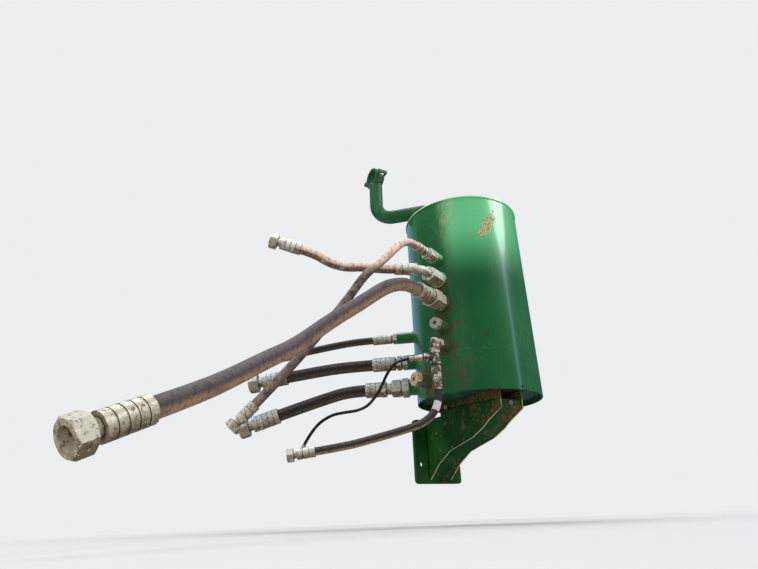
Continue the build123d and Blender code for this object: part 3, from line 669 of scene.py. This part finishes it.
# Hoses. Columns: name, diameter, length, finish, stiffness, the coupling's end, the way out of it as
# turn and rise in degrees, the straight run, and the points after that
HOSES = (
    ("supply_1", 0.019, 0.577, "hose_upper", "stiff", (-0.2412, -0.3174, 0.4350), (PORT_LINE, 0.0), 0.018, (
        (-0.277, -0.333, 0.431), (-0.302, -0.343, 0.418), (-0.33, -0.353, 0.391),
        (-0.363, -0.348, 0.353), (-0.406, -0.343, 0.313), (-0.441, -0.331, 0.255),
        (-0.489, -0.304, 0.185), (-0.542, -0.267, 0.108), (-0.601, -0.229, 0.035))),
    ("supply_2", 0.022, 0.237, "hose_light", "stiff", (-0.2901, -0.2865, 0.3746), (159.0, -2.0), 0.036, (
        (-0.364, -0.258, 0.378), (-0.403, -0.241, 0.375), (-0.442, -0.231, 0.384),
        (-0.475, -0.226, 0.402), (-0.508, -0.213, 0.413))),
    ("supply_3", 0.031, 0.733, "hose_brown", "stiff", (-0.2521, -0.3223, 0.3130), (PORT_LINE, 0.0), 0.032, (
        (-0.315, -0.348, 0.306), (-0.367, -0.367, 0.282), (-0.435, -0.379, 0.228),
        (-0.513, -0.387, 0.171), (-0.586, -0.4, 0.108), (-0.652, -0.437, 0.066),
        (-0.712, -0.471, 0.024), (-0.77, -0.51, -0.013), (-0.833, -0.541, -0.046))),
    ("sensor", 0.007, 0.333, "line_plastic", "medium", (-0.2437, -0.2589, 0.1610), (SUCTION_LINE, 0.0), 0.014, (
        (-0.272, -0.233, 0.153), (-0.284, -0.218, 0.13), (-0.294, -0.21, 0.102),
        (-0.309, -0.204, 0.077), (-0.327, -0.2, 0.056), (-0.352, -0.196, 0.044),
        (-0.38, -0.189, 0.04), (-0.413, -0.18, 0.033), (-0.446, -0.164, 0.007),
        (-0.462, -0.152, -0.029))),
    ("return", 0.0175, 0.333, "hose_return", "stiff", (-0.1973, -0.2979, 0.0830), (PORT_LINE, -90.0), 0.018, (
        (-0.2015, -0.2964, 0.0476), (-0.2097, -0.2934, 0.0318), (-0.2213, -0.2892, 0.0187),
        (-0.2388, -0.2828, 0.0069), (-0.2637, -0.2738, -0.0022), (-0.3, -0.26, -0.013),
        (-0.344, -0.241, -0.025), (-0.395, -0.215, -0.038), (-0.45, -0.184, -0.046))),
    ("suction_1", 0.02, 0.224, "hose_dark", "stiff", (-0.2099, -0.0339, 0.2770), (SUCTION_LINE, 0.0), 0.044, (
        (-0.287, 0.025, 0.271), (-0.339, 0.055, 0.26), (-0.396, 0.085, 0.247))),
    ("suction_2", 0.031, 0.243, "hose_dark", "stiff", (-0.2122, -0.0319, 0.2060), (SUCTION_LINE, 0.0), 0.054, (
        (-0.301, 0.038, 0.203), (-0.354, 0.075, 0.195), (-0.408, 0.11, 0.186))),
    ("suction_3", 0.032, 0.248, "hose_dark", "stiff", (-0.2283, -0.0184, 0.1370), (SUCTION_LINE, 0.0), 0.052, (
        (-0.319, 0.055, 0.121), (-0.372, 0.089, 0.102), (-0.425, 0.119, 0.082))),
)
ROUND_STEPS = 6           # bevel steps round a quarter of a hose
CURVE_STEPS = 16          # steps along each stretch of its line


def make_hose(name, diameter, length, material, stiffness, start, way, lead, after):
    """One hose on a smooth spline, standing for its plain solid."""
    turn, rise = (math.radians(a) for a in way)
    out = Vector((math.cos(turn) * math.cos(rise), math.sin(turn) * math.cos(rise), math.sin(rise)))
    points = [Vector(start), Vector(start) + out * lead] + [Vector(p) for p in after]
    node, slot = ("sensor_line", "line_plastic") if name == "sensor" else (f"{name}_hose", "hose_rubber")
    data = bpy.data.curves.new(f"{node}_run", "CURVE")
    data.dimensions = "3D"
    data.resolution_u = CURVE_STEPS
    data.bevel_depth = diameter / 2
    data.bevel_resolution = ROUND_STEPS
    data.use_fill_caps = True
    spline = data.splines.new("NURBS")
    spline.points.add(len(points) - 1)
    for point, place in zip(spline.points, points):
        point.co = (*place, 1.0)
    spline.order_u = 3
    spline.use_endpoint_u = True
    hose = bpy.data.objects.new(f"{node}_run", data)
    bpy.context.scene.collection.objects.link(hose)
    data.materials.append(material)
    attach(hose, TANK)
    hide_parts(node)


def make_hoses(finishes):
    for name, diameter, length, finish, *rest in HOSES:
        make_hose(name, diameter, length, finishes[finish], *rest)


# Floor, backdrop and light. The floor fades into the backdrop between two distances
FLOOR_Z = -0.205
FLOOR_HALF = 30.0
FADE_FROM, FADE_TO = 0.2, 1.7
FLOOR_COLOUR = srgb(219, 221, 222)
BACKDROP_COLOUR = srgb(236, 238, 240)


def make_floor():
    made = Finish("floor")
    close = made.near(Vector((0.0, 0.0, FLOOR_Z)), FADE_FROM, FADE_TO - FADE_FROM)
    material = made.done({
        "Base Color": made.mix(close, srgb(0, 0, 0), FLOOR_COLOUR), "Roughness": 1.0,
        "Specular IOR Level": 0.0, "Emission Color": BACKDROP_COLOUR,
        "Emission Strength": made.minus(1.0, close)})
    corners = [(x * FLOOR_HALF, y * FLOOR_HALF, FLOOR_Z) for x, y in ((-1, -1), (1, -1), (1, 1), (-1, 1))]
    data = bpy.data.meshes.new("floor")
    data.from_pydata(corners, [], [(0, 1, 2, 3)])
    data.materials.append(material)
    floor = bpy.data.objects.new("floor", data)
    bpy.context.scene.collection.objects.link(floor)
    floor.visible_glossy = False


# What the gloss reflects: dim all round, with a wide bright band and a narrow one, by compass turn
# from +X in degrees. Columns: from, to, fade, strength
GLOSS_BANDS = ((62.0, 108.0, 14.0, 0.85), (-51.0, -48.5, 3.0, 4.0))
GLOSS_DIM = 0.14
GLOSS_COLOUR = srgb(160, 198, 236)
SOFT_LIGHT = srgb(236, 240, 246)
SOFT_STRENGTH = 0.45


def make_world():
    """Soft even light on the object, a pale background, and dark surroundings in the gloss with two
    bright bands."""
    world = bpy.data.worlds.new("studio")
    world.use_nodes = True
    made = Nodes(world.node_tree)

    def background(colour, strength):
        return made.add("ShaderNodeBackground", {"Color": colour, "Strength": strength}).outputs[0]

    def choose(share, first, second):
        return made.add("ShaderNodeMixShader", {0: share, 1: first, 2: second}).outputs[0]

    place = made.add("ShaderNodeTexCoord", {})
    way = made.add("ShaderNodeSeparateXYZ", {"Vector": place.outputs["Generated"]})
    compass = made.math("DEGREES", made.math("ARCTAN2", way.outputs["Y"], way.outputs["X"]))
    gloss = made.most(GLOSS_DIM, *(
        made.times(made.ramp(compass, start - fade, start), made.ramp(compass, end + fade, end), strength)
        for start, end, fade, strength in GLOSS_BANDS))
    path = made.add("ShaderNodeLightPath", {})
    lit = choose(
        path.outputs["Is Glossy Ray"], background(SOFT_LIGHT, SOFT_STRENGTH), background(GLOSS_COLOUR, gloss))
    seen = choose(path.outputs["Is Camera Ray"], lit, background(BACKDROP_COLOUR, 1.0))
    made.add("ShaderNodeOutputWorld", {"Surface": seen})
    bpy.context.scene.world = world


# Lamps. Columns: name, place, size, power in watts, whether the gloss shows it
LAMPS = (
    ("key", (1.3, -1.7, 2.2), 1.6, 41.0, True),
    ("top", (-0.6, 0.4, 2.6), 2.0, 40.0, True),
    ("fill", (-2.2, -1.2, 0.7), 1.8, 16.0, False),
)
LAMP_AIM = Vector((-0.15, -0.21, 0.35))


def make_lamps():
    for name, place, size, power, glossy in LAMPS:
        data = bpy.data.lights.new(name, "AREA")
        data.shape = "DISK"
        data.size = size
        data.energy = power
        lamp = bpy.data.objects.new(name, data)
        lamp.location = place
        lamp.visible_glossy = glossy
        lamp.rotation_mode = "QUATERNION"
        lamp.rotation_quaternion = (LAMP_AIM - Vector(place)).to_track_quat("-Z", "Y")
        bpy.context.scene.collection.objects.link(lamp)


finishes = make_finishes()
dress_nodes(finishes)
make_hoses(finishes)
make_all_welds(finishes)
make_floor()
make_world()
make_lamps()
make_camera()
bpy.context.scene.view_settings.view_transform = "Standard"
